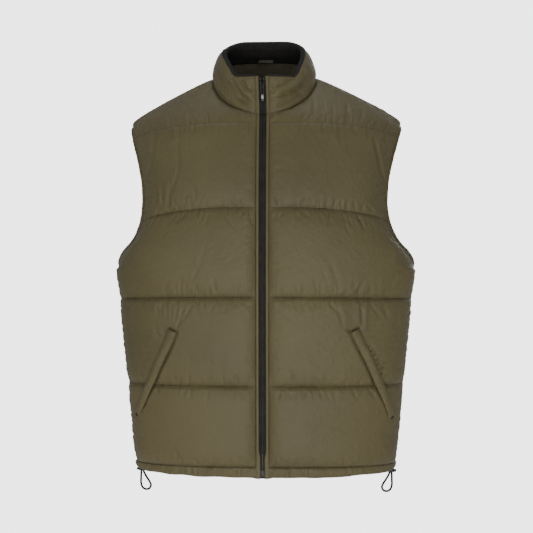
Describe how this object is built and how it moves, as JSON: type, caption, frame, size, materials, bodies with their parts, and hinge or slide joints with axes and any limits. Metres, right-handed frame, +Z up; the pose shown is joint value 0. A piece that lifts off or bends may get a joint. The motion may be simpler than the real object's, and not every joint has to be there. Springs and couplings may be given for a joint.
{
  "type": "quilted puffer vest, filled out as if worn, with no wearer",
  "caption": "Sleeveless quilted puffer vest with a lined stand collar, full-length front zip, slanted welt pockets and a drawcord hem, holding its worn shape.",
  "frame": {"origin": "midway between the two points where the neck seam meets the shoulder seams", "axes": "+Z up, the front faces -Y, +X to the right as seen from the front"},
  "size_m": [0.5064, 0.2543, 0.7824],
  "materials": {
    "shell_cloth": "olive nylon taffeta, soft satin sheen, padded and quilted",
    "collar_pile": "black microfleece with a short pile",
    "facing_cloth": "very dark olive twill",
    "zip_tape": "black woven tape of a reverse coil zip",
    "zip_metal": "gunmetal plating",
    "black_plastic": "moulded black plastic",
    "cord": "braided elastic cord"
  },
  "bodies": {
    "vest": {"armhole_binding_left": "shell_cloth", "armhole_binding_right": "shell_cloth", "back": "shell_cloth", "collar": "shell_cloth", "collar_lining": "collar_pile", "cord_lock_left": "black_plastic", "cord_lock_right": "black_plastic", "drawcord_loop_left": "cord", "drawcord_loop_right": "cord", "front_left": "shell_cloth", "front_right": "shell_cloth", "hanger_loop": "facing_cloth", "hem_back": "shell_cloth", "hem_front_left": "shell_cloth", "hem_front_right": "shell_cloth", "neck_facing": "facing_cloth", "placket_left": "shell_cloth", "placket_right": "shell_cloth", "pocket_welt_left": "shell_cloth", "pocket_welt_right": "shell_cloth", "zip_box": "black_plastic", "zip_slider": "zip_metal", "zip_tape_left": "zip_tape", "zip_tape_right": "zip_tape"},
    "pull": {"zip_pull": "zip_metal"}
  },
  "joints": [
    {"name": "pull_swing", "type": "hinge", "parent": "vest", "child": "pull", "pos_m": [0, -0.09378, -0.0222], "axis": [-1, 0, 0], "range_deg": [0, 160]}
  ]
}
